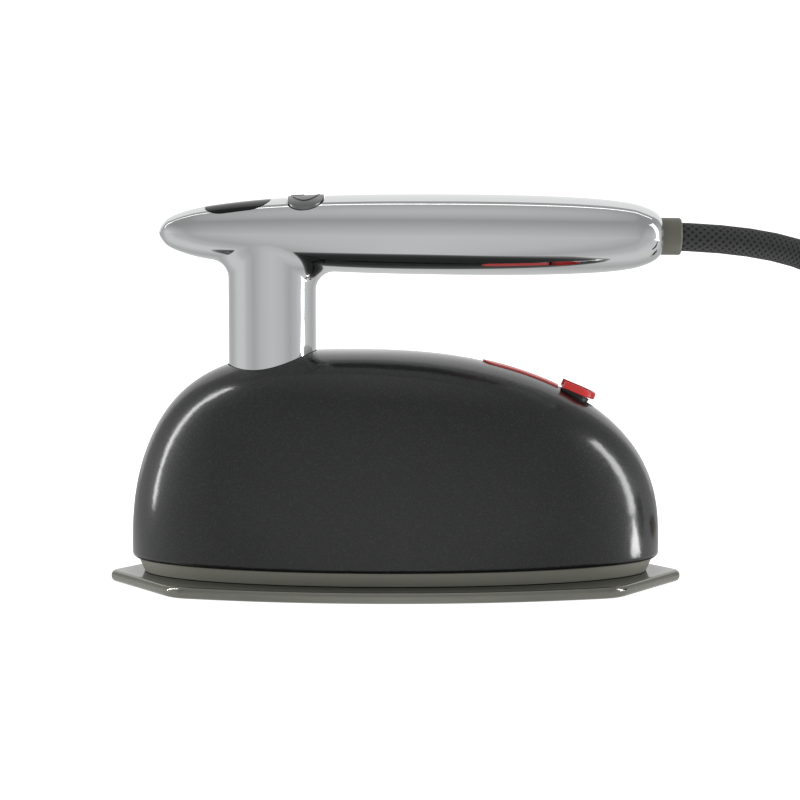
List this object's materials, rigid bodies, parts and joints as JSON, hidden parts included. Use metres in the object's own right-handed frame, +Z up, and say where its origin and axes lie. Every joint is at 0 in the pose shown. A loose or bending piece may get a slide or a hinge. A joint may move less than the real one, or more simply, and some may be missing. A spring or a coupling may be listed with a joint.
{
  "type": "clothes iron",
  "caption": "Compact steam iron with a double-pointed soleplate, dark glossy domed body, chrome bar handle on one swivelling post, red filler stopper and coiled power cord",
  "frame": {"origin": "Centre of the soleplate's underside, on the surface that the iron stands on", "axes": "+X along the soleplate to the end where the cord leaves the handle, +Y across the soleplate, +Z up; metres"},
  "size_m": [0.381, 0.122, 0.1164],
  "materials": {
    "sole_metal": "satin",
    "heater_steel": "satin",
    "silicone": "matte",
    "screw_steel": "satin",
    "ceramic": "matte",
    "skirt_plastic": "matte",
    "body_gloss": "gloss",
    "dark_plastic": "matte",
    "red_silicone": "satin",
    "tank_plastic": "gloss",
    "chrome": "polished",
    "black_lens": "gloss",
    "satin_silver": "satin",
    "board_green": "satin",
    "cord_black": "matte",
    "tie_fabric": "matte",
    "plug_black": "matte",
    "brass": "satin"
  },
  "bodies": {
    "base": {"soleplate": "sole_metal", "heating_element": "heater_steel", "chamber_gasket": "silicone", "steam_chamber_cover": "heater_steel", "chamber_screws": "screw_steel", "thermostat": "ceramic", "thermal_fuse": "ceramic", "insulating_skirt": "skirt_plastic", "skirt_screws": "screw_steel", "body_shell": "body_gloss", "filler_neck": "dark_plastic", "filler_strap": "red_silicone", "water_tank": "tank_plastic", "water_pump": "dark_plastic", "pump_bracket": "screw_steel", "tank_hose": "silicone", "dosing_hose": "silicone", "swivel_bush": "dark_plastic", "thrust_washer": "screw_steel"},
    "handle": {"handle_upper_shell": "chrome", "handle_lower_shell": "chrome", "handle_screws": "screw_steel", "indicator_window": "black_lens", "button_switch": "dark_plastic", "control_board": "board_green", "indicator_lamp": "tank_plastic", "inner_lead": "cord_black", "cord_clamp": "dark_plastic", "cord_gland": "skirt_plastic", "cord_inner_end": "cord_black", "power_cord": "cord_black", "cord_coil": "cord_black", "cord_tail": "cord_black", "cord_ties": "tie_fabric", "plug_body": "plug_black", "plug_blades": "brass", "retaining_ring": "screw_steel"},
    "button": {"steam_button": "satin_silver", "button_spring": "screw_steel"},
    "cap": {"filler_cap": "red_silicone"}
  },
  "joints": [
    {"name": "handle_swivel", "type": "hinge", "parent": "base", "child": "handle", "pos_m": [-0.0368, 0, 0.0542], "axis": [0, 0, 1], "range_deg": [0, 180]},
    {"name": "button_press", "type": "slide", "parent": "handle", "child": "button", "axis": [-0.0087, 0, -1], "range_m": [0, 0.0012], "stiffness_N_per_m": 800, "springref_m": -0.0008, "deforming": ["button_spring"]},
    {"name": "cap_hinge", "type": "hinge", "parent": "base", "child": "cap", "pos_m": [0.04961, 0, 0.05976], "axis": [0, -1, 0], "range_deg": [0, 110]}
  ]
}
